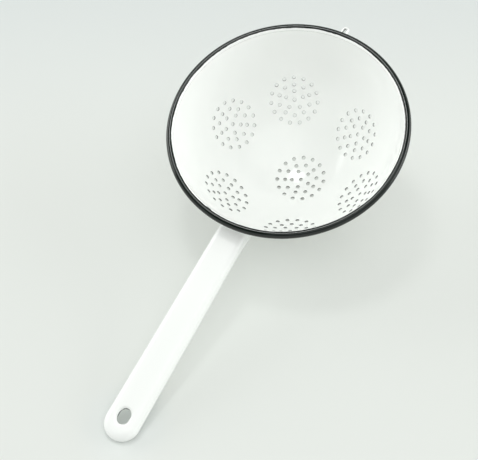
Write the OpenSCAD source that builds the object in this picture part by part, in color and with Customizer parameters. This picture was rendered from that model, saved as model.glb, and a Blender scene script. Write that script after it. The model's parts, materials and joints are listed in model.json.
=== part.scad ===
// Enamelled steel strainer with a long channel handle.
// It lies on a table as it is put down: on the round bottom of the bowl and on the end of the handle.
// The origin is the point of the table under the bowl, the handle runs towards -Y, and sizes are in mm.
// The bowl's own frame has its axis along Z and its zero height at the middle of the rim bead.

/* [Bowl] */
// Outside diameter over the rolled rim
rim_d = 200; // [190:1:220]
// Depth of the bowl inside, from the middle of the rim bead to the bottom
bowl_depth = 89; // [80:1:98]
// How much smaller the inside radius of the round bottom is than the rim's outside radius
bottom_inset = 9.5; // [7:0.5:13]
// Angle from the bowl's axis at which the round bottom passes into the steeper wall
wall_start = 64; // [63:0.5:68]
// Thickness of the bowl's sheet with its enamel
bowl_sheet = 1.2; // [0.8:0.1:1.6]

/* [Rim] */
// Diameter of the rolled bead
bead_d = 6; // [5:0.25:8]
// Thickness of the curled sheet with its enamel
curl_sheet = 1.2; // [0.8:0.1:1.4]
// Play between the stiffening wire and the curl round it
wire_play = 0.1; // [0.05:0.05:0.3]

/* [Drain holes] */
// Diameter of a drain hole
drain_d = 3; // [2:0.1:4]
// Number of holes in the inner ring of a group, which the next rings hold twice and three times
ring_holes = 5; // [4:1:6]
// Radius of the inner ring of a group, along the wall
ring_1_r = 8; // [7:0.5:9]
// Radius of the middle ring of a group
ring_2_r = 14; // [12.5:0.5:15]
// Radius of the outer ring of a group
ring_3_r = 21; // [19:0.5:22]
// Direction of each group from the handle, anticlockwise from above; the first group is the bottom one
group_turn = [85, 25, 87, 143, 207, 261, 322]; // [0:1:359]
// Angle of each group's middle from the bowl's axis
group_polar = [3, 46, 46, 43, 45, 48, 46]; // [0:1:48]
// Turn of each group about its own middle, from one row straight up the wall
group_spin = [67, 0, 0, 7, 70, 5, 2]; // [0:1:71]

/* [Handle] */
// Distance from the bowl's axis to the tip of the handle
handle_reach = 283.5; // [240:0.5:320]
// Width of the handle at its round end
handle_end_w = 28.5; // [24:0.5:30]
// Width of the handle where it meets the bowl
handle_root_w = 25.5; // [22:0.5:27]
// Height of the handle's top below the middle of the rim bead
handle_drop = 11.5; // [9:0.5:16]
// Thickness of the handle's sheet with its enamel
handle_sheet = 1.2; // [0.8:0.1:1.6]
// Radius of the rolled shoulders, outside
shoulder_r = 6; // [4:0.5:7]
// Height of the handle's sides along its length
skirt_h = 8; // [7.5:0.5:12]
// Height that the sides gain towards the bowl
gusset_h = 4.5; // [3:0.5:9]
// Length over which the sides gain that height
gusset_run = 28; // [20:1:50]

/* [Hanging hole] */
// Length of the hole along the handle
hang_l = 12; // [11:0.5:16]
// Width of the hole
hang_w = 9.5; // [7:0.5:10]
// Distance from the middle of the hole to the tip of the handle
hang_from_tip = 18.5; // [17:0.5:30]
// Radius of the turned-down lip, at its top
lip_r = 2.75; // [2:0.25:3]
// Straight end of the lip
lip_end = 0.8; // [0.4:0.1:1.5]

/* [Handle foot] */
// Width of the welded foot round the bowl
foot_w = 40; // [32:1:50]
// Height of the foot's upper edge below the middle of the rim bead
foot_top = 5.5; // [4.5:0.25:8]
// Distance by which the foot reaches below the handle's sides
foot_margin = 1.5; // [0.5:0.25:4]
// Radius of the foot's corners
foot_corner_r = 5; // [2:0.5:7]

/* [Rest hook] */
// Direction of the hook from the handle, anticlockwise from above
hook_turn = 181; // [170:1:190]
// Diameter of the hook's wire with its enamel
hook_d = 2.6; // [2:0.1:3.2]
// Gap between the two legs of the hook
hook_gap = 1.4; // [0.8:0.1:3]
// Height of the legs' upper ends below the middle of the rim bead
hook_drop = 9; // [7.5:0.25:14]
// Length of the welded legs down the wall
hook_leg = 12; // [8:0.5:18]
// Radius of the bends from the legs to the arms, on the wire's middle
hook_bend_r = 3; // [2:0.25:4]
// Length of the straight arms
hook_arm = 12; // [10:0.5:18]

/* [Fits] */
// Space left between welded pieces and the bowl
weld_gap = 0.1; // [0.05:0.05:0.3]

/* [Hidden] */
$fn = 96;

// A length beyond every outline, for cutting shapes
far = 400;

bead_r = bead_d / 2;
bead_centre_r = rim_d / 2 - bead_r;
mouth_r = bead_centre_r - bead_r;
bottom_r = rim_d / 2 - bottom_inset;
wire_r = bead_r - curl_sheet - wire_play;

// The wall is an arc that leaves the round bottom at wall_start and ends at the mouth
ball_z = bottom_r - bowl_depth;
wall_dir = [sin(wall_start), -cos(wall_start)];
mouth_from_ball = [mouth_r, -ball_z];
wall_extra = (mouth_from_ball * mouth_from_ball - bottom_r * bottom_r)
    / (2 * (bottom_r - mouth_from_ball * wall_dir));
wall_r = bottom_r + wall_extra;
wall_centre = [0, ball_z] - wall_dir * wall_extra;

// Radius of the wall at a height under the rim, for a surface that lies clear of the inside by out
function wall_at(height, out) =
    wall_centre[0] + sqrt(pow(wall_r + out, 2) - pow(wall_centre[1] + height, 2));
// Lean of that surface from upright at the same height
function wall_lean(height, out) = asin((wall_centre[1] + height) / (wall_r + out));

// The handle is a channel whose sides run from the round end to the root
end_r = handle_end_w / 2;
end_x = handle_reach - end_r;
root_x = wall_at(handle_drop, bowl_sheet);
side_l = end_x - root_x;
side_turn = asin(end_r / norm([handle_root_w / 2, side_l])) - atan2(handle_root_w / 2, side_l);
hang_x = handle_reach - hang_from_tip;
lip_outer = hang_w / 2 + lip_r;
slot_half = (hang_l - hang_w) / 2;
gusset_r = (gusset_run * gusset_run + gusset_h * gusset_h) / (2 * gusset_h);

// The tilt that brings both the round bottom and the tip of the handle down to the table
ball_out = bottom_r + bowl_sheet;
tip_from_ball = [handle_reach, ball_z + handle_drop + skirt_h];
rest_tilt = asin(ball_out / norm(tip_from_ball)) - atan2(tip_from_ball[1], tip_from_ball[0]);

foot_in = bowl_sheet + weld_gap;
foot_out = foot_in + handle_sheet;
foot_h = handle_drop + skirt_h + gusset_h + foot_margin - foot_top;

hook_r = hook_d / 2;
leg_side = (hook_gap + hook_d) / 2;
// The legs touch the wall at half their length
leg_mid = hook_drop + hook_leg / 2;
leg_out = bowl_sheet + weld_gap + hook_r;
leg_x = wall_at(leg_mid, leg_out);
leg_lean = wall_lean(leg_mid, leg_out);

white_enamel = "whitesmoke";
black_enamel = "#26302d";
steel = "silver";

// Puts a piece from the bowl's own frame down on the table
module at_rest() {
    translate([0, 0, ball_out]) rotate([rest_tilt, 0, 0]) translate([0, 0, -ball_z]) children();
}

// Turns a shape drawn along +X to a direction counted from the handle, anticlockwise from above
module from_handle(turn) {
    rotate([0, 0, turn - 90]) children();
}

// Half outline of the bowl filled in, grown by out from the inside surface
module bowl_fill(out) {
    intersection() {
        translate([0, -far]) square([far, far]);
        union() {
            intersection() {
                translate([0, ball_z]) circle(bottom_r + out);
                polygon([[0, ball_z], [0, ball_z] + wall_dir * far, [0, -far]]);
            }
            intersection() {
                translate(wall_centre) circle(wall_r + out);
                polygon([[0, ball_z], [0, ball_z] + wall_dir * far, [far, far], [0, far]]);
            }
        }
    }
}

// One drain hole, from the middle of the round bottom outwards along -Z
module drain_hole() {
    translate([0, 0, -2 * bottom_r]) cylinder(d = drain_d, h = 2 * bottom_r - bottom_r / 2);
}

// Tilts a shape that points along -Z by an angle towards +X
module tilted(angle) {
    rotate([0, -angle, 0]) children();
}

// A ring of holes round a group's middle
module hole_ring(radius, count) {
    for (i = [0:count - 1])
        rotate([0, 0, i * 360 / count]) tilted(radius / bottom_r * 180 / PI) drain_hole();
}

module hole_group() {
    drain_hole();
    hole_ring(ring_1_r, ring_holes);
    hole_ring(ring_2_r, 2 * ring_holes);
    hole_ring(ring_3_r, 3 * ring_holes);
}

module bowl() {
    color(white_enamel) at_rest() difference() {
        rotate_extrude() difference() {
            bowl_fill(bowl_sheet);
            bowl_fill(0);
        }
        translate([0, 0, ball_z]) for (i = [0:len(group_turn) - 1])
            from_handle(group_turn[i]) tilted(group_polar[i]) rotate([0, 0, group_spin[i]]) hole_group();
    }
}

// The sheet is curled outwards over the wire and back to the wall
module rim_bead() {
    color(black_enamel) at_rest() rotate_extrude() difference() {
        translate([bead_centre_r, 0]) difference() {
            circle(bead_r);
            circle(bead_r - curl_sheet);
        }
        bowl_fill(bowl_sheet + weld_gap);
    }
}

module rim_wire() {
    color(steel) at_rest() rotate_extrude() translate([bead_centre_r, 0]) circle(wire_r);
}

// A quarter ring of sheet, from its highest point round to the side that x points to
module quarter_sheet(outer_r, sheet) {
    intersection() {
        difference() {
            circle(outer_r);
            circle(outer_r - sheet);
        }
        square(outer_r + sheet);
    }
}

// Half section of the channel, from its middle out to the side; the sides are side_h high
module channel_section(side_h) {
    translate([0, -handle_sheet]) square([end_r - shoulder_r, handle_sheet]);
    translate([end_r - shoulder_r, -shoulder_r]) quarter_sheet(shoulder_r, handle_sheet);
    translate([end_r - handle_sheet, -side_h]) square([handle_sheet, side_h - shoulder_r]);
}

// The round end, from one side onwards, round its own middle
module channel_end() {
    rotate([0, 0, -side_turn]) rotate([0, 0, -90]) rotate_extrude(angle = 180) channel_section(skirt_h);
}

// The same side from the round end back to the bowl, as high as it gets there
module channel_side() {
    rotate([0, 0, -side_turn]) rotate([90, 0, -90]) linear_extrude(side_l + end_r)
        channel_section(skirt_h + gusset_h);
}

// The space under the sides: level along the handle and sweeping down towards the bowl
module under_sides() {
    gusset_x = root_x + gusset_run;
    rotate([90, 0, 0]) translate([0, 0, -far / 2]) linear_extrude(far) {
        translate([gusset_x, -skirt_h - far]) square([far, far]);
        intersection() {
            translate([gusset_x, -skirt_h - gusset_r]) circle(gusset_r, $fn = 192);
            translate([gusset_x - far, -far]) square([far, far]);
        }
    }
}

// The channel's two halves are mirror images, and each ends at the middle plane
module channel() {
    for (side = [0, 1]) mirror([0, side, 0]) intersection() {
        union() {
            translate([end_x, 0, 0]) channel_end();
            difference() {
                translate([end_x, 0, 0]) channel_side();
                under_sides();
            }
        }
        translate([0, -far, -far / 2]) cube([far, far, far]);
    }
}

// Outline of the hanging hole, half_w to each side of its middle line
module slot(half_w) {
    square([2 * slot_half, 2 * half_w], center = true);
    for (end = [-1, 1]) translate([end * slot_half, 0]) circle(half_w);
}

// Section of the lip from the handle's top down into the hole
module lip_section() {
    translate([lip_outer, -lip_r]) mirror([1, 0]) quarter_sheet(lip_r, handle_sheet);
    translate([hang_w / 2, -lip_r - lip_end]) square([handle_sheet, lip_end]);
}

module lip() {
    for (end = [-1, 1]) translate([end * slot_half, 0, 0])
        rotate([0, 0, -end * 90]) rotate_extrude(angle = 180) lip_section();
    for (side = [0, 1]) mirror([0, side, 0]) translate([-slot_half, 0, 0])
        rotate([90, 0, 90]) linear_extrude(2 * slot_half) lip_section();
}

// The foot follows the bowl's wall
module foot() {
    intersection() {
        rotate_extrude() difference() {
            bowl_fill(foot_out);
            bowl_fill(foot_in);
        }
        translate([mouth_r / 2, 0, -foot_top - foot_h / 2]) rotate([90, 0, 90]) linear_extrude(mouth_r)
            foot_outline();
    }
}

module foot_outline() {
    square([foot_w - 2 * foot_corner_r, foot_h], center = true);
    square([foot_w, foot_h - 2 * foot_corner_r], center = true);
    for (x = [-1, 1], y = [-1, 1])
        translate([x * (foot_w / 2 - foot_corner_r), y * (foot_h / 2 - foot_corner_r)]) circle(foot_corner_r);
}

module handle() {
    color(white_enamel) at_rest() from_handle(0) {
        difference() {
            translate([0, 0, -handle_drop]) {
                difference() {
                    channel();
                    translate([hang_x, 0, -2 * handle_sheet]) linear_extrude(3 * handle_sheet) slot(lip_outer);
                }
                translate([hang_x, 0, 0]) lip();
            }
            rotate_extrude() bowl_fill(foot_in + handle_sheet / 2);
        }
        foot();
    }
}

// The hook's wire round its bends' centre: two legs, two bends, two arms and the half ring at the tip
module bent_wire() {
    for (side = [0, 1]) mirror([0, side, 0]) translate([0, leg_side, 0]) {
        translate([-hook_bend_r, 0, -hook_leg]) cylinder(r = hook_r, h = hook_leg);
        rotate([90, 0, 0]) rotate([0, 0, 90]) rotate_extrude(angle = 90)
            translate([hook_bend_r, 0]) circle(hook_r);
        translate([0, 0, hook_bend_r]) rotate([0, 90, 0]) cylinder(r = hook_r, h = hook_arm);
    }
    translate([hook_arm, 0, hook_bend_r]) rotate([0, 0, -90]) rotate_extrude(angle = 180)
        translate([leg_side, 0]) circle(hook_r);
}

module rest_hook() {
    color(white_enamel) at_rest() from_handle(hook_turn) translate([leg_x, 0, -leg_mid])
        rotate([0, leg_lean, 0]) translate([hook_bend_r, 0, hook_leg / 2]) bent_wire();
}

bowl();
rim_bead();
rim_wire();
handle();
rest_hook();
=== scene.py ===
"""Dresses a white enamelled strainer with a rolled black rim and a long channel handle.

The file is laid out as an add-on: its panel lists one button for each piece and one for the stage.
All lengths are in metres. The bowl's own frame has its axis along Z and its zero height at the
middle of the rolled rim; the strainer lies tilted on the table, so that frame is tilted too.
"""
import json
import math

import bmesh
import bpy
from mathutils import Euler, Matrix, Vector
from mathutils.bvhtree import BVHTree


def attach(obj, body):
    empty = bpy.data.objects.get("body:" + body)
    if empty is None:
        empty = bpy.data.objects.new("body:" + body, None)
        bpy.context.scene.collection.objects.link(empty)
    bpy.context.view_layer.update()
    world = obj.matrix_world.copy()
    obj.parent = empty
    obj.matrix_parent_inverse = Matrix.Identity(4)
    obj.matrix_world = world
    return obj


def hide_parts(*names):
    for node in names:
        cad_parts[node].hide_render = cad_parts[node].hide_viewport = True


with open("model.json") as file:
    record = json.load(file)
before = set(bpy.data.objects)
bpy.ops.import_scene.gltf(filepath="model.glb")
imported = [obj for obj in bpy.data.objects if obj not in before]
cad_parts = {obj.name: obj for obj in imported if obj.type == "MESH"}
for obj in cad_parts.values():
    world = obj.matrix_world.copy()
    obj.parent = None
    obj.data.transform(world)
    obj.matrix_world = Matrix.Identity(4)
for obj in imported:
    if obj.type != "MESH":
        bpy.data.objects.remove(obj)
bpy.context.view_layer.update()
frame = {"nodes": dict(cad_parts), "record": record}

bl_info = {
    "name": "Enamel strainer",
    "version": (1, 0, 0),
    "blender": (4, 5, 0),
    "location": "3D View > Sidebar > Strainer",
    "description": "Enamel, seams and stage for a strainer with a rolled rim and a channel handle",
    "category": "Object",
}

MM = 0.001

# The bowl's own frame on the table
BALL_OUT = 91.7 * MM
BALL_HEIGHT = 1.5 * MM

# The bowl's wall, an arc turned about the axis, on its outer side
WALL_MIDDLE = (-54.373 * MM, 28.019 * MM)
WALL_OUTER_R = 152.195 * MM

# The corner under the roll, where its outside comes down on the wall, and the bead that fills it
ROLL_CORNER_HEIGHT = -2.4 * MM
RIM_SEAM_OUT = 0.2 * MM
RIM_SEAM_WIDTH = 0.7 * MM
RIM_SEAM_POINTS = 144

# The handle's foot on the wall, and the bead round it
FOOT_WIDTH = 40 * MM
FOOT_HEIGHT = 20 * MM
FOOT_TOP = -5.5 * MM
FOOT_CORNER = 5 * MM
FOOT_CORNER_STEPS = 12
FOOT_SEAM_OUT = 0.3 * MM
FOOT_SEAM_WIDTH = 0.9 * MM

# Points closer than this are one point, and sheet edges are sharper than this
SAME_POINT = 1e-6
SHEET_CORNER = math.radians(40)

# Triangles of the CAD mesh flatter than this lie in a seam between two surfaces
SLIVER_HEIGHT = 0.02 * MM

# A point further than this from the CAD surface lies on the crest of a rounded edge
CREST_DEPTH = 0.03 * MM

# The sheet's two faces look more than this along the line to the middle of the bowl, the walls
# of the drain holes less
DRAIN_WALL_LEAN = 0.6

# The oval hanging hole. Its lip is painted dark, as shade, within this many hole sizes of the
# hole's middle, up to this height over it
HOLE_LENGTH = 12 * MM
HOLE_WIDTH = 9.5 * MM
LIP_SHADE_REACH = 0.53
LIP_SHADE_TOP = 1 * MM

# The hook's angle round the bowl, the height of its legs' middle, how far out its arms' middles
# lie, and how much the sides that face each other, which get painted shade, look across the slot
# between the arms
HOOK_TURN = 181
HOOK_MIDDLE = -15 * MM
HOOK_ARM_OUT = 2 * MM
HOOK_INNER_SIDE = 0.5

# Half the thickness, width and height of the enamel that pooled over the hook's weld, and how far
# its middle lies out from the wall
WELD_HALVES = (0.75 * MM, 3.6 * MM, 7.2 * MM)
WELD_OUT = 0.25 * MM

# The glass of both enamels: how it bends light, how deep its surface waves, and the height of its
# orange peel beside that of its long waves
GLASS_IOR = 1.52
GLASS_RELIEF = 0.02 * MM
PEEL_SHARE = 0.35

# What rubbing adds to the roughness of the white and of the black coat
WHITE_DULLING = 0.09
BLACK_DULLING = 0.12

# Turn and stretch of the faint strokes that use left on the white coat
STROKE_TURN = (0.3, 0.2, 0.9)
STROKE_STRETCH = (1.0, 7.0, 7.0)

# The share of a speck's size that is fully dark, and the share of the pattern's cells without one
SPECK_CORE = 0.4
EMPTY_CELLS = 0.62

# Half the width over which the black coat ends, the height of its edge beside the glass's relief,
# and the share of the drop's width that ran in by its whole depth
BLACK_END = 0.12 * MM
BLACK_STEP = 3.0
DROP_CORE = 0.25

# The edge's wander: the distance between its waves in millimetres, their detail and their share
EDGE_WAVES = ((26, 1.0, 1.0), (4, 2.0, 0.5))

WHITE_SPECK = "#8d918b"
BLACK_PINHOLE = "#4a4f4c"
WIRE_BRIGHT = "#a7a59f"
WIRE_DULL = "#7d7a74"
WIRE_ROUGHNESS = (0.28, 0.5)
LAMP_COLOUR = "#fafcfa"
AMBIENT_COLOUR = "#fbfdfc"

# Half the side of the table, the direction across it away from the viewer, from where to where
# along that painted shade darkens it, and how far round the hanging hole its shadow is deep and
# where it is soft
TABLE_HALF = 4.0
TABLE_AWAY = (-0.5, 0.87, 0)
TABLE_FAR_SHADE = (0.0, 0.4)
DEEP_SHADOW = (15 * MM, 45 * MM)

# Angles over the horizon at which the backdrop begins and ends to turn into the ceiling
BACKDROP_TOP = math.radians(18)
CEILING_FOOT = math.radians(38)

# Each lamp's name, the setting of its power, its width and height, and its place
LAMPS = (
    ("top_lamp", "top_power", (1.7, 1.3), (0.45, -0.3, 1.4)),
    ("crown_lamp", "crown_power", (0.3, 0.3), (-0.4, 0.2, 1.4)),
    ("left_window", "left_power", (2.2, 1.5), (-2.8, -0.2, 1.3)),
    ("right_window", "right_power", (2.8, 1.2), (2.4, 1.6, 1.2)),
)
LAMP_AIM = Vector((0, -0.08, 0.03))

# The camera's place, its turns in degrees, its sensor in millimetres and how far it sees
CAMERA_PLACE = (265.04 * MM, -526.79 * MM, 716.84 * MM)
CAMERA_TURNS = (37.635, 0.646, 29.795)
CAMERA_SENSOR = 36.0
CAMERA_REACH = 20.0

# Places of the colour sockets on a Mix node
MIX_SHARE = 0
MIX_FIRST = 6
MIX_SECOND = 7
MIX_RESULT = 2


def hanging_hole(key):
    """A place or direction of the hanging hole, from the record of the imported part."""
    mounts = {mount["name"]: mount for mount in frame["record"]["mounts"]}
    return Vector(mounts["hanging_hole"][key])


HANDLE_UP = hanging_hole("axis")
HOLE_LIP = hanging_hole("pos_m")
REST_TILT = math.atan2(-HANDLE_UP.y, HANDLE_UP.z)
BOWL_PLACE = (
    Matrix.Translation((0, 0, BALL_OUT))
    @ Matrix.Rotation(REST_TILT, 4, "X")
    @ Matrix.Translation((0, 0, -BALL_HEIGHT))
)


def linear(hex_colour):
    """Turns an sRGB hex colour into the linear colour that Blender works with."""
    channels = [int(hex_colour[place : place + 2], 16) / 255 for place in (1, 3, 5)]
    return tuple(c / 12.92 if c <= 0.04045 else ((c + 0.055) / 1.055) ** 2.4 for c in channels)


def bowl_point(turn, radius, height):
    """A point in the bowl's own frame, its turn counted in degrees from the handle."""
    angle = math.radians(turn - 90)
    return Vector((radius * math.cos(angle), radius * math.sin(angle), height))


def wall_radius(height, out):
    """Radius of the bowl at a height of its own frame, out beyond its outer surface."""
    reach = math.sqrt((WALL_OUTER_R + out) ** 2 - (height - WALL_MIDDLE[1]) ** 2)
    return WALL_MIDDLE[0] + reach


def finish_piece(piece, material):
    """Makes a new piece ride on the strainer, in its finish."""
    piece.data.materials.clear()
    piece.data.materials.append(material)
    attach(piece, "root")


def dress_node(name, material):
    """Gives a CAD piece its material."""
    piece = frame["nodes"][name]
    piece.data.materials.clear()
    piece.data.materials.append(material)


def smooth_object(name, mesh):
    """Puts a mesh into the scene as a smooth object at the origin."""
    mesh.shade_smooth()
    piece = bpy.data.objects.new(name, mesh)
    bpy.context.scene.collection.objects.link(piece)
    return piece


def mesh_piece(name, shape):
    """Turns a bmesh into a smooth object at the origin."""
    mesh = bpy.data.meshes.new(name)
    shape.to_mesh(mesh)
    shape.free()
    return smooth_object(name, mesh)


# Nodes


def add_node(tree, kind, settings=None, inputs=None):
    """Adds one node, sets its settings, and links or sets its inputs."""
    node = tree.nodes.new(kind)
    for name, value in (settings or {}).items():
        setattr(node, name, value)
    for name, value in (inputs or {}).items():
        if isinstance(value, bpy.types.NodeSocket):
            tree.links.new(value, node.inputs[name])
        else:
            node.inputs[name].default_value = value
    return node


def per_metre(millimetres):
    """The scale of a pattern whose features are this far apart."""
    return 1 / (millimetres * MM)


def noise(tree, coords, apart_mm, detail, roughness=0.5):
    """Noise from zero to one whose lumps are some millimetres apart."""
    node = add_node(tree, "ShaderNodeTexNoise", inputs={
        "Vector": coords, "Scale": per_metre(apart_mm), "Detail": detail,
        "Roughness": roughness})
    return node.outputs["Fac"]


def remap(tree, value, source, target=(0.0, 1.0), **settings):
    """Carries a value from one range of numbers over to another."""
    node = add_node(tree, "ShaderNodeMapRange", settings, {
        "Value": value, "From Min": source[0], "From Max": source[1],
        "To Min": target[0], "To Max": target[1]})
    return node.outputs["Result"]


def smooth_remap(tree, value, source, target=(0.0, 1.0)):
    """Carries a value over in the same way, with a soft start and end."""
    return remap(tree, value, source, target, interpolation_type="SMOOTHSTEP")


def reckon(tree, operation, *values):
    """The result of one operation on numbers, each a socket or a plain number."""
    node = add_node(tree, "ShaderNodeMath", {"operation": operation}, dict(enumerate(values)))
    return node.outputs["Value"]


def measure(tree, operation, *vectors):
    """The number that one operation makes of vectors, such as their distance."""
    node = add_node(
        tree, "ShaderNodeVectorMath", {"operation": operation}, dict(enumerate(vectors)))
    return node.outputs["Value"]


def blend(tree, share, first, second):
    """Blends two colours, each a socket or a plain colour, by the share of the second."""
    inputs = {MIX_SHARE: share}
    for place, colour in ((MIX_FIRST, first), (MIX_SECOND, second)):
        linked = isinstance(colour, bpy.types.NodeSocket)
        inputs[place] = colour if linked else (*colour, 1)
    return add_node(tree, "ShaderNodeMix", {"data_type": "RGBA"}, inputs).outputs[MIX_RESULT]


def seen_ray(tree):
    """One where a ray comes from the camera, a reflection or clear glass, and zero elsewhere."""
    path = add_node(tree, "ShaderNodeLightPath")
    straight = reckon(
        tree, "MAXIMUM", path.outputs["Is Camera Ray"], path.outputs["Is Glossy Ray"])
    return reckon(tree, "MAXIMUM", straight, path.outputs["Is Transmission Ray"])


# Materials


def new_material(name):
    """A new material with its Principled shader, and the object's coordinates for patterns."""
    material = bpy.data.materials.new(name)
    material.use_nodes = True
    tree = material.node_tree
    tree.nodes.clear()
    shader = add_node(tree, "ShaderNodeBsdfPrincipled")
    add_node(tree, "ShaderNodeOutputMaterial", inputs={"Surface": shader.outputs["BSDF"]})
    coords = add_node(tree, "ShaderNodeTexCoord").outputs["Object"]
    return material, tree, shader, coords


def speck_mask(tree, coords, apart_mm, size_mm):
    """Sparse round specks, where a grain of iron or dirt was fired into the glass."""
    cells = add_node(tree, "ShaderNodeTexVoronoi", {"feature": "F1"}, {
        "Vector": coords, "Scale": per_metre(apart_mm)})
    size = size_mm / apart_mm
    spot = remap(tree, cells.outputs["Distance"], (size, SPECK_CORE * size))
    chance = add_node(tree, "ShaderNodeSeparateColor", inputs={"Color": cells.outputs["Color"]})
    chosen = reckon(tree, "GREATER_THAN", chance.outputs["Red"], EMPTY_CELLS)
    return reckon(tree, "MULTIPLY", spot, chosen)


def enamel_grain(tree, coords, grain_mm, wave_mm):
    """Height of fired enamel: long soft waves of the run glass with a finer orange peel on them."""
    waves = noise(tree, coords, wave_mm, detail=1.0)
    peel = noise(tree, coords, grain_mm, detail=2.0)
    return reckon(tree, "ADD", waves, reckon(tree, "MULTIPLY", peel, PEEL_SHARE))


def make_glass(tree, shader, colour, roughness, height):
    """Gives a shader the colour, the gloss and the waving surface of fired enamel."""
    bump = add_node(tree, "ShaderNodeBump", inputs={
        "Strength": 1.0, "Distance": GLASS_RELIEF, "Height": height})
    tree.links.new(colour, shader.inputs["Base Color"])
    tree.links.new(roughness, shader.inputs["Roughness"])
    tree.links.new(bump.outputs["Normal"], shader.inputs["Normal"])
    shader.inputs["IOR"].default_value = GLASS_IOR


def white_enamel(settings):
    """White vitreous enamel: titanium-white glass fired over a dark ground coat on steel sheet.

    It gives a clean, slightly cool white with a hard wet gloss, reflections that swim a little
    over the run glass, and the dark grey of the ground coat at sheet edges. The same grey is
    painted shade in the hanging hole's lip and the hook's slot, and partly painted shade on the
    drain walls.
    """
    material, tree, shader, coords = new_material("white_vitreous_enamel")

    # Slow change of the coat's thickness over some centimetres
    clouds = noise(tree, coords, apart_mm=55, detail=3.0, roughness=0.45)
    coat = blend(tree, clouds, settings.white, settings.white_shade)

    # The coat is thin on the rounded edges of the sheet and the ground coat shows through; the same
    # colour is painted shade in the hanging hole's lip and the hook's slot, and partly on the drain
    # walls
    thin = add_node(tree, "ShaderNodeAttribute", {
        "attribute_type": "GEOMETRY", "attribute_name": "thin_enamel"})
    uneven = remap(
        tree, noise(tree, coords, apart_mm=9, detail=2.0), (0.3, 0.7), (0.7, 1.0))
    bare_and_shaded = reckon(tree, "MULTIPLY", thin.outputs["Fac"], uneven)
    edge = blend(tree, bare_and_shaded, coat, settings.thin_edge_and_shade)
    specks = speck_mask(tree, coords, apart_mm=17, size_mm=0.22)
    speckled = blend(tree, specks, edge, linear(WHITE_SPECK))

    # Use dulls the gloss a little in faint strokes
    strokes = add_node(tree, "ShaderNodeMapping", {"vector_type": "POINT"}, {
        "Vector": coords, "Rotation": STROKE_TURN, "Scale": STROKE_STRETCH})
    rubbed = noise(tree, strokes.outputs["Vector"], apart_mm=24, detail=4.0)
    gloss = remap(tree, rubbed, (0.35, 0.75), (
        settings.gloss_roughness, settings.gloss_roughness + WHITE_DULLING))

    grain = enamel_grain(tree, coords, grain_mm=2.2, wave_mm=11)
    make_glass(tree, shader, speckled, gloss, grain)
    return material


def shared_white(enamel):
    """The one white enamel that all the white pieces share."""
    return bpy.data.materials.get("white_vitreous_enamel") or white_enamel(enamel)


def bowl_frame_coords(tree, coords):
    """Coordinates of the bowl's own frame, for patterns that follow the rim."""
    back = BOWL_PLACE.inverted()
    return add_node(tree, "ShaderNodeMapping", {"vector_type": "POINT"}, {
        "Vector": coords, "Location": back.to_translation(),
        "Rotation": back.to_euler()}).outputs["Vector"]


def dipped_edge(tree, coords, settings):
    """Where the rim's black enamel ends: a circle that wanders as the brush or the bath left it."""
    own = bowl_frame_coords(tree, coords)
    parts = add_node(tree, "ShaderNodeSeparateXYZ", inputs={"Vector": own})
    flat = add_node(tree, "ShaderNodeCombineXYZ", inputs={
        "X": parts.outputs["X"], "Y": parts.outputs["Y"], "Z": 0.0}).outputs["Vector"]

    radius = measure(tree, "LENGTH", flat)
    for apart_mm, detail, share in EDGE_WAVES:
        reach = share * settings.edge_wander
        waves = noise(tree, flat, apart_mm, detail)
        wander = remap(tree, waves, (0.0, 1.0), (-reach, reach), clamp=False)
        radius = reckon(tree, "ADD", radius, wander)

    # One drop ran inwards beside the handle before firing
    drop_at = bowl_point(math.degrees(settings.drop_turn), settings.edge_radius, 0)
    drop = smooth_remap(
        tree, measure(tree, "DISTANCE", flat, drop_at),
        (settings.drop_width, DROP_CORE * settings.drop_width), (0.0, settings.drop_depth))
    return smooth_remap(tree, reckon(tree, "ADD", radius, drop), (
        settings.edge_radius - BLACK_END, settings.edge_radius + BLACK_END))


def black_rim_enamel(enamel, rim):
    """Black vitreous enamel: a second glass brushed or dipped over the rolled rim and fired.

    It gives a deep, slightly green black with sharp long highlights along the roll, a softly
    wandering inner edge, and worn places along the crown that are a little duller and greyer.
    """
    material, tree, shader, coords = new_material("black_vitreous_enamel")

    # Rubbing greys the crown of the roll in patches
    patches = noise(tree, coords, apart_mm=13, detail=4.0, roughness=0.6)
    rubbed = remap(tree, patches, (0.45, 0.75))
    glass = blend(tree, rubbed, rim.black, rim.black_rubbed)
    pinholes = speck_mask(tree, coords, apart_mm=6, size_mm=0.2)
    pitted = blend(tree, pinholes, glass, linear(BLACK_PINHOLE))
    gloss = remap(tree, rubbed, (0.0, 1.0), (
        rim.gloss_roughness, rim.gloss_roughness + BLACK_DULLING))

    # The black coat lies on the white one, so its edge is a small step
    black = dipped_edge(tree, coords, rim)
    both = blend(tree, black, enamel.white, pitted)
    grain = enamel_grain(tree, coords, grain_mm=1.8, wave_mm=9)
    step = reckon(tree, "MULTIPLY_ADD", black, BLACK_STEP, grain)
    make_glass(tree, shader, both, gloss, step)
    return material


def drawn_wire():
    """Plain drawn steel wire: bright grey metal with fine lines along its length."""
    material, tree, shader, coords = new_material("drawn_steel_wire")
    scale = noise(tree, coords, apart_mm=7, detail=5.0)
    tone = blend(tree, scale, linear(WIRE_BRIGHT), linear(WIRE_DULL))
    lines = noise(tree, coords, apart_mm=0.8, detail=3.0)
    dull = remap(tree, lines, (0.3, 0.7), WIRE_ROUGHNESS)
    tree.links.new(tone, shader.inputs["Base Color"])
    tree.links.new(dull, shader.inputs["Roughness"])
    shader.inputs["Metallic"].default_value = 1.0
    return material


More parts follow.
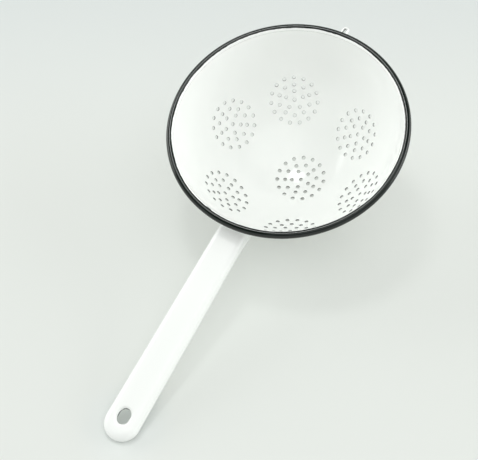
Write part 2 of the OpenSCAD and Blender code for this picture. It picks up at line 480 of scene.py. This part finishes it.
def table_top(settings):
    """Pale plain table: a matt board that painted shade darkens a little away from the viewer.

    What looks at it straight or in a reflection sees part of its tone as its own, so the
    object's shadow on it stays soft and pale.
    """
    material, tree, shader, coords = new_material("pale_painted_board")
    tone = noise(tree, coords, apart_mm=400, detail=2.0)
    near = blend(tree, tone, settings.table, settings.table_shade)
    # Painted shade: the board darkens away from the viewer, as the light falls off
    far = smooth_remap(tree, measure(tree, "DOT_PRODUCT", coords, TABLE_AWAY), TABLE_FAR_SHADE)
    far_shaded = blend(tree, far, near, settings.table_far_shade)
    tree.links.new(far_shaded, shader.inputs["Base Color"])
    shader.inputs["Roughness"].default_value = 0.9
    shader.inputs["Specular IOR Level"].default_value = 0.1

    own = blend(tree, far, settings.table_in_shade, settings.table_far_shade)
    own_tone = add_node(tree, "ShaderNodeEmission", inputs={"Color": own, "Strength": 1.0})

    # Close under the end of the handle the shadow keeps its depth
    from_hole = measure(tree, "DISTANCE", coords, (HOLE_LIP.x, HOLE_LIP.y, 0))
    softening = smooth_remap(tree, from_hole, DEEP_SHADOW, (0.0, settings.shadow_softening))
    both = add_node(tree, "ShaderNodeMixShader", inputs={
        0: reckon(tree, "MULTIPLY", seen_ray(tree), softening),
        1: shader.outputs["BSDF"], 2: own_tone.outputs["Emission"]})
    output = tree.get_output_node("ALL")
    tree.links.new(both.outputs["Shader"], output.inputs["Surface"])
    return material


# Shapes


def glazed_copy(node, name, rounding=0.0, bareness=0.0):
    """Copies a CAD piece and rounds its sheet edges, as the enamel that ran over them does.

    Away from the rounding every point keeps the exact normal of the CAD surface. The bareness
    says how much of the ground coat shows on the rounded edges.
    """
    cad = node.data
    shape = bmesh.new()
    shape.from_mesh(cad)
    bmesh.ops.remove_doubles(shape, verts=shape.verts, dist=SAME_POINT)
    if rounding:
        corners = [e for e in shape.edges if e.is_manifold and e.calc_face_angle() > SHEET_CORNER]
        bmesh.ops.bevel(
            shape, geom=corners, offset=rounding, offset_type="OFFSET", segments=2, profile=0.5,
            affect="EDGES", clamp_overlap=False, material=-1)
    piece = mesh_piece(name, shape)
    keep_cad_surface(piece.data, cad, bareness)
    return piece


def keep_cad_surface(mesh, cad, bareness):
    """Gives the points that lie on the CAD surface its normals, and marks the others.

    The others are the crests of the rounded edges. The enamel is thin on those that stand out,
    which a mesh attribute says, and pools in those that lie in an inner corner. Later steps put
    painted shade into the same attribute.
    """
    stale = mesh.attributes.get("custom_normal")
    if stale:
        mesh.attributes.remove(stale)
    faces = [face for face in cad.polygons if face_height(cad, face) > SLIVER_HEIGHT]
    tree = BVHTree.FromPolygons([v.co for v in cad.vertices], [face.vertices for face in faces])
    normals = []
    thin = []
    for vert in mesh.vertices:
        place, outward, found, distance = tree.find_nearest(vert.co)
        on_crest = distance > CREST_DEPTH
        stands_out = on_crest and (vert.co - place).dot(outward) < 0
        thin.append(bareness if stands_out else 0.0)
        if on_crest:
            normals.append(Vector())
            continue
        loops = list(faces[found].loop_indices)
        corners = [cad.vertices[cad.loops[loop].vertex_index].co for loop in loops]
        shares = corner_shares(place, corners)
        normal = sum((cad.corner_normals[loop].vector * share
                      for loop, share in zip(loops, shares)), Vector())
        normals.append(normal.normalized())
    mesh.attributes.new("thin_enamel", "FLOAT", "POINT").data.foreach_set("value", thin)
    mesh.normals_split_custom_set_from_vertices(normals)


def face_height(cad, face):
    """Height of a triangle over its longest side."""
    corners = [cad.vertices[index].co for index in face.vertices]
    longest = max((a - b).length for a, b in zip(corners, corners[1:] + corners[:1]))
    return 2 * face.area / longest


def corner_shares(place, corners):
    """How much each corner of a triangle counts at a place in it."""
    a, b, c = corners
    whole = (b - a).cross(c - a)
    size = whole.length_squared
    share_b = (place - a).cross(c - a).dot(whole) / size
    share_c = (b - a).cross(place - a).dot(whole) / size
    return (1 - share_b - share_c, share_b, share_c)


def shade_the_lip(mesh):
    """Paints the inside of the hanging hole's turned-down lip dark, as painted shade for the shadow
    seen through the hole.
    """
    across = Vector((1, 0, 0))
    along = across.cross(HANDLE_UP)
    marks = mesh.attributes["thin_enamel"].data
    for vert, mark in zip(mesh.vertices, marks):
        out = vert.co - HOLE_LIP
        share = math.hypot(out.dot(across) / HOLE_WIDTH, out.dot(along) / HOLE_LENGTH)
        if share < LIP_SHADE_REACH and out.dot(HANDLE_UP) < LIP_SHADE_TOP:
            mark.value = 1.0


def bare_and_shade_drains(mesh, bareness):
    """Marks the walls of the drain holes with the ground-coat grey: partly the thin coat there,
    partly painted shade for the shaded walls and the table seen through the holes.
    """
    middle = Vector((0, 0, BALL_OUT))
    marks = mesh.attributes["thin_enamel"].data
    for vert, mark in zip(mesh.vertices, marks):
        if abs(vert.normal.dot((vert.co - middle).normalized())) < DRAIN_WALL_LEAN:
            mark.value = bareness


def shade_the_slot(mesh):
    """Paints the sides where the hook's two arms face each other dark, as painted shade in the
    narrow slot between them.
    """
    own = (BOWL_PLACE @ Matrix.Rotation(math.radians(HOOK_TURN), 4, "Z")).inverted()
    marks = mesh.attributes["thin_enamel"].data
    for vert, mark in zip(mesh.vertices, marks):
        across = (own @ vert.co).x
        facing = (own.to_3x3() @ vert.normal).x
        inner_side = across * facing < 0 and abs(facing) > HOOK_INNER_SIDE
        if abs(across) < HOOK_ARM_OUT and inner_side:
            mark.value = 1.0


def enamel_bead(name, points, thickness):
    """A closed bead of enamel along a seam."""
    path = bpy.data.curves.new(name, "CURVE")
    path.dimensions = "3D"
    path.bevel_depth = thickness / 2
    path.bevel_resolution = 3
    line = path.splines.new("POLY")
    line.points.add(len(points) - 1)
    for point, place in zip(line.points, points):
        point.co = (*place, 1)
    line.use_cyclic_u = True
    holder = bpy.data.objects.new(name, path)
    mesh = bpy.data.meshes.new_from_object(holder)
    mesh.name = name
    bpy.data.objects.remove(holder)
    bpy.data.curves.remove(path)
    return smooth_object(name, mesh)


def foot_outline():
    """Points round the handle's foot: across the wall, and the height of the bowl's frame."""
    out = FOOT_WIDTH / 2 - FOOT_CORNER
    up = FOOT_HEIGHT / 2 - FOOT_CORNER
    middle = FOOT_TOP - FOOT_HEIGHT / 2
    points = []
    for quarter, (side, end) in enumerate(((1, 1), (-1, 1), (-1, -1), (1, -1))):
        for step in range(FOOT_CORNER_STEPS + 1):
            angle = math.radians(90 * (quarter + step / FOOT_CORNER_STEPS))
            points.append((
                side * out + FOOT_CORNER * math.cos(angle),
                middle + end * up + FOOT_CORNER * math.sin(angle)))
    return points


# Stage


def lay_backdrop(scene, settings):
    """A pale surround: plain for what looks at it, and an even soft light for the object."""
    world = bpy.data.worlds.new("pale_surround")
    world.use_nodes = True
    tree = world.node_tree
    tree.nodes.clear()
    light = add_node(tree, "ShaderNodeBackground", inputs={
        "Color": (*linear(AMBIENT_COLOUR), 1), "Strength": settings.ambient})
    way = add_node(tree, "ShaderNodeTexCoord").outputs["Generated"]
    height = add_node(tree, "ShaderNodeSeparateXYZ", inputs={"Vector": way}).outputs["Z"]
    above = smooth_remap(tree, height, (math.sin(BACKDROP_TOP), math.sin(CEILING_FOOT)))
    view = add_node(tree, "ShaderNodeBackground", inputs={
        "Color": blend(tree, above, settings.backdrop, settings.ceiling), "Strength": 1.0})
    both = add_node(tree, "ShaderNodeMixShader", inputs={
        0: seen_ray(tree), 1: light.outputs["Background"], 2: view.outputs["Background"]})
    add_node(tree, "ShaderNodeOutputWorld", inputs={"Surface": both.outputs["Shader"]})
    scene.world = world


def hang_lamp(scene, name, power, size, place):
    """A flat oval light of some width and height that points at the strainer."""
    lamp = bpy.data.lights.new(name, "AREA")
    lamp.shape = "ELLIPSE"
    lamp.size, lamp.size_y = size
    lamp.energy = power
    lamp.color = linear(LAMP_COLOUR)
    holder = bpy.data.objects.new(name, lamp)
    holder.location = place
    aim = LAMP_AIM - Vector(place)
    holder.rotation_euler = aim.to_track_quat("-Z", "Y").to_euler()
    scene.collection.objects.link(holder)


def set_up_camera(scene, settings):
    """Places the camera at the photograph's angle."""
    camera = bpy.data.objects.new("camera", bpy.data.cameras.new("camera"))
    camera.data.lens = settings.lens
    camera.data.sensor_width = CAMERA_SENSOR
    camera.data.clip_end = CAMERA_REACH
    camera.location = CAMERA_PLACE
    camera.rotation_euler = Euler(math.radians(turn) for turn in CAMERA_TURNS)
    scene.collection.objects.link(camera)
    scene.camera = camera


# Settings


class EnamelSettings(bpy.types.PropertyGroup):
    """Colours and gloss of the white enamel, and how round it makes the sheet's edges."""

    white: bpy.props.FloatVectorProperty(
        name="White", description="Colour of the white coat where it is thick",
        subtype="COLOR", size=3, min=0, max=1, default=linear("#fcfdfb"))
    white_shade: bpy.props.FloatVectorProperty(
        name="White, thinner", description="Colour of the white coat where it is thinner",
        subtype="COLOR", size=3, min=0, max=1, default=linear("#f8faf7"))
    # Ground-coat grey at thin edges, also painted shade in the hanging hole's lip, the hook's slot
    # and partly on the drain walls
    thin_edge_and_shade: bpy.props.FloatVectorProperty(
        name="Thin edge", description="Colour where the ground coat shows through at an edge",
        subtype="COLOR", size=3, min=0, max=1, default=linear("#3c423f"))
    gloss_roughness: bpy.props.FloatProperty(
        name="Roughness", description="Roughness of the glossy coat",
        subtype="FACTOR", min=0, max=1, default=0.1)
    hole_rounding: bpy.props.FloatProperty(
        name="Hole rounding", description="How far the enamel rounds the edges of the drain holes",
        subtype="DISTANCE", unit="LENGTH", min=0, default=0.3 * MM)
    # Partly painted shade: this also darkens the drain holes' rims and walls
    hole_bareness_and_shade: bpy.props.FloatProperty(
        name="Hole bareness", description="How much ground coat shows on the drain holes' edges",
        subtype="FACTOR", min=0, max=1, default=0.85)
    sheet_bareness: bpy.props.FloatProperty(
        name="Sheet bareness", description="How much ground coat shows on the handle's edges",
        subtype="FACTOR", min=0, max=1, default=0.25)
    sheet_rounding: bpy.props.FloatProperty(
        name="Sheet rounding", description="How far the enamel rounds the handle's sheet edges",
        subtype="DISTANCE", unit="LENGTH", min=0, default=0.42 * MM)


class RimSettings(bpy.types.PropertyGroup):
    """The black enamel on the rolled rim and the edge at which it ends."""

    black: bpy.props.FloatVectorProperty(
        name="Black", description="Colour of the black enamel",
        subtype="COLOR", size=3, min=0, max=1, default=linear("#0a130f"))
    black_rubbed: bpy.props.FloatVectorProperty(
        name="Black, rubbed", description="Colour of the black enamel where it is rubbed",
        subtype="COLOR", size=3, min=0, max=1, default=linear("#18201d"))
    gloss_roughness: bpy.props.FloatProperty(
        name="Roughness", description="Roughness of the black enamel",
        subtype="FACTOR", min=0, max=1, default=0.09)
    edge_radius: bpy.props.FloatProperty(
        name="Edge radius", description="Radius of the black enamel's inner edge",
        subtype="DISTANCE", unit="LENGTH", min=0, default=95.1 * MM)
    edge_wander: bpy.props.FloatProperty(
        name="Edge wander", description="How far that edge wanders in and out",
        subtype="DISTANCE", unit="LENGTH", min=0, default=0.6 * MM)
    drop_turn: bpy.props.FloatProperty(
        name="Drop turn", description="Angle from the handle to the drop that ran inwards",
        subtype="ANGLE", unit="ROTATION", default=math.radians(347))
    drop_width: bpy.props.FloatProperty(
        name="Drop width", description="Half width of that drop along the rim",
        subtype="DISTANCE", unit="LENGTH", min=0, default=3.6 * MM)
    drop_depth: bpy.props.FloatProperty(
        name="Drop depth", description="How far the drop ran inwards",
        subtype="DISTANCE", unit="LENGTH", min=0, default=0.9 * MM)


class StageSettings(bpy.types.PropertyGroup):
    """The table, the lamps and the camera."""

    table: bpy.props.FloatVectorProperty(
        name="Table", description="Colour of the table top",
        subtype="COLOR", size=3, min=0, max=1, default=linear("#e2e5e3"))
    table_shade: bpy.props.FloatVectorProperty(
        name="Table, other tone", description="Second tone of the table top",
        subtype="COLOR", size=3, min=0, max=1, default=linear("#dfe3e0"))
    # Painted shade: the table's colour away from the viewer, where the light falls off
    table_far_shade: bpy.props.FloatVectorProperty(
        name="Table, far end", description="Colour of the table away from the viewer",
        subtype="COLOR", size=3, min=0, max=1, default=linear("#d5dad9"))
    table_in_shade: bpy.props.FloatVectorProperty(
        name="Table in the shade", description="Tone that the table keeps in a shadow",
        subtype="COLOR", size=3, min=0, max=1, default=linear("#e3e5dc"))
    shadow_softening: bpy.props.FloatProperty(
        name="Shadow softening", description="Share of the table's tone that no shadow reaches",
        subtype="FACTOR", min=0, max=1, default=0.3)
    backdrop: bpy.props.FloatVectorProperty(
        name="Backdrop", description="Colour of the backdrop behind the table",
        subtype="COLOR", size=3, min=0, max=1, default=linear("#eef1ec"))
    ceiling: bpy.props.FloatVectorProperty(
        name="Ceiling", description="Colour of the room high above the backdrop",
        subtype="COLOR", size=3, min=0, max=1, default=linear("#565a58"))
    ambient: bpy.props.FloatProperty(
        name="Ambient light", description="Strength of the even light from all round",
        min=0, default=0.71)
    top_power: bpy.props.FloatProperty(
        name="Top lamp", description="Power of the large soft lamp above the viewer's right",
        subtype="POWER", unit="POWER", min=0, default=4.0)
    crown_power: bpy.props.FloatProperty(
        name="Crown lamp", description="Power of the small lamp that draws the line on the rim",
        subtype="POWER", unit="POWER", min=0, default=2.8)
    left_power: bpy.props.FloatProperty(
        name="Left window", description="Power of the wide light on the left",
        subtype="POWER", unit="POWER", min=0, default=25.0)
    right_power: bpy.props.FloatProperty(
        name="Right window", description="Power of the wide light behind the strainer's right",
        subtype="POWER", unit="POWER", min=0, default=28.0)
    lens: bpy.props.FloatProperty(
        name="Lens", description="Focal length on a sensor 36 mm wide",
        subtype="DISTANCE_CAMERA", unit="CAMERA", min=1, default=79.194)


# Operators


class STRAINER_OT_white_bowl(bpy.types.Operator):
    """Gives the bowl its white enamel, with the edges of the drain holes rounded by it"""

    bl_idname = "strainer.white_bowl"
    bl_label = "White bowl"

    def execute(self, context):
        enamel = context.scene.strainer_enamel
        bowl = glazed_copy(
            frame["nodes"]["bowl"], "enamelled_bowl", enamel.hole_rounding, enamel.hole_bareness_and_shade)
        # Partly painted shade: the drain walls get the ground-coat grey
        bare_and_shade_drains(bowl.data, enamel.hole_bareness_and_shade)
        finish_piece(bowl, shared_white(enamel))
        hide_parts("bowl")
        return {"FINISHED"}


class STRAINER_OT_black_rim(bpy.types.Operator):
    """Gives the rolled rim its black enamel and the wire in it its steel"""

    bl_idname = "strainer.black_rim"
    bl_label = "Black rim and wire"

    def execute(self, context):
        scene = context.scene
        dress_node("rim_bead", black_rim_enamel(scene.strainer_enamel, scene.strainer_rim))
        dress_node("rim_wire", drawn_wire())
        return {"FINISHED"}


class STRAINER_OT_handle(bpy.types.Operator):
    """Gives the channel handle its white enamel, with its sheet edges rounded by it"""

    bl_idname = "strainer.handle"
    bl_label = "Channel handle"

    def execute(self, context):
        enamel = context.scene.strainer_enamel
        handle = glazed_copy(
            frame["nodes"]["handle"], "enamelled_handle", enamel.sheet_rounding,
            enamel.sheet_bareness)
        # Painted shade: the inside of the hanging hole's lip is darkened
        shade_the_lip(handle.data)
        finish_piece(handle, shared_white(enamel))
        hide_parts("handle")
        return {"FINISHED"}


class STRAINER_OT_rest_hook(bpy.types.Operator):
    """Gives the rest hook its white enamel, painted shade between its arms, and the pool over its
    weld
    """

    bl_idname = "strainer.rest_hook"
    bl_label = "Rest hook"

    def execute(self, context):
        white = shared_white(context.scene.strainer_enamel)
        hook = glazed_copy(frame["nodes"]["rest_hook"], "enamelled_hook")
        # Painted shade: the slot between the hook's arms is darkened
        shade_the_slot(hook.data)
        finish_piece(hook, white)
        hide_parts("rest_hook")

        lean = math.asin((WALL_MIDDLE[1] - HOOK_MIDDLE) / WALL_OUTER_R)
        shape = bmesh.new()
        bmesh.ops.create_icosphere(shape, subdivisions=4, radius=1.0)
        bmesh.ops.scale(shape, vec=WELD_HALVES, verts=shape.verts)
        bmesh.ops.transform(
            shape, verts=shape.verts,
            matrix=BOWL_PLACE @ Matrix.Rotation(math.radians(HOOK_TURN - 90), 4, "Z")
            @ Matrix.Translation((wall_radius(HOOK_MIDDLE, WELD_OUT), 0, HOOK_MIDDLE))
            @ Matrix.Rotation(lean, 4, "Y"))
        bmesh.ops.recalc_face_normals(shape, faces=shape.faces)
        weld = mesh_piece("hook_weld", shape)
        finish_piece(weld, white)
        return {"FINISHED"}


class STRAINER_OT_seams(bpy.types.Operator):
    """Adds the beads of enamel that close the seams of the handle's foot and of the rolled rim"""

    bl_idname = "strainer.seams"
    bl_label = "Enamel seams"

    def execute(self, context):
        white = shared_white(context.scene.strainer_enamel)
        around_foot = []
        for across, height in foot_outline():
            radius = wall_radius(height, FOOT_SEAM_OUT)
            turn = math.degrees(math.asin(across / radius))
            around_foot.append(BOWL_PLACE @ bowl_point(turn, radius, height))
        seam = enamel_bead("foot_seam", around_foot, FOOT_SEAM_WIDTH)
        finish_piece(seam, white)

        radius = wall_radius(ROLL_CORNER_HEIGHT, RIM_SEAM_OUT)
        around_rim = [
            BOWL_PLACE @ bowl_point(360 * step / RIM_SEAM_POINTS, radius, ROLL_CORNER_HEIGHT)
            for step in range(RIM_SEAM_POINTS)]
        seam = enamel_bead("rim_seam", around_rim, RIM_SEAM_WIDTH)
        finish_piece(seam, white)
        return {"FINISHED"}


class STRAINER_OT_stage(bpy.types.Operator):
    """Sets up the table, the soft lamps, the pale backdrop and the camera"""

    bl_idname = "strainer.stage"
    bl_label = "Stage"

    def execute(self, context):
        scene = context.scene
        settings = scene.strainer_stage
        shape = bmesh.new()
        bmesh.ops.create_grid(shape, x_segments=8, y_segments=8, size=TABLE_HALF)
        table = mesh_piece("table_top", shape)
        table.data.materials.append(table_top(settings))

        lay_backdrop(scene, settings)
        for name, power, size, place in LAMPS:
            hang_lamp(scene, name, getattr(settings, power), size, place)
        set_up_camera(scene, settings)
        scene.view_settings.view_transform = "Standard"
        return {"FINISHED"}


class STRAINER_PT_pieces(bpy.types.Panel):
    """Lists the pieces of the strainer, its stage and their settings"""

    bl_idname = "STRAINER_PT_pieces"
    bl_label = "Enamel strainer"
    bl_space_type = "VIEW_3D"
    bl_region_type = "UI"
    bl_category = "Strainer"

    def draw(self, context):
        scene = context.scene
        for operator in OPERATORS:
            self.layout.operator(operator.bl_idname)
        for group in (scene.strainer_enamel, scene.strainer_rim, scene.strainer_stage):
            box = self.layout.box()
            for name in group.__annotations__:
                box.prop(group, name)


OPERATORS = (
    STRAINER_OT_stage,
    STRAINER_OT_white_bowl,
    STRAINER_OT_black_rim,
    STRAINER_OT_handle,
    STRAINER_OT_rest_hook,
    STRAINER_OT_seams,
)
CLASSES = (EnamelSettings, RimSettings, StageSettings, *OPERATORS, STRAINER_PT_pieces)


def register():
    """Adds the settings, the buttons and the panel."""
    for item in CLASSES:
        bpy.utils.register_class(item)
    bpy.types.Scene.strainer_enamel = bpy.props.PointerProperty(type=EnamelSettings)
    bpy.types.Scene.strainer_rim = bpy.props.PointerProperty(type=RimSettings)
    bpy.types.Scene.strainer_stage = bpy.props.PointerProperty(type=StageSettings)


def unregister():
    """Takes them away again."""
    del bpy.types.Scene.strainer_stage
    del bpy.types.Scene.strainer_rim
    del bpy.types.Scene.strainer_enamel
    for item in reversed(CLASSES):
        bpy.utils.unregister_class(item)


def main():
    """Registers the add-on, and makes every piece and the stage."""
    register()
    bpy.ops.strainer.stage()
    bpy.ops.strainer.white_bowl()
    bpy.ops.strainer.black_rim()
    bpy.ops.strainer.handle()
    bpy.ops.strainer.rest_hook()
    bpy.ops.strainer.seams()


if __name__ == "__main__":
    main()
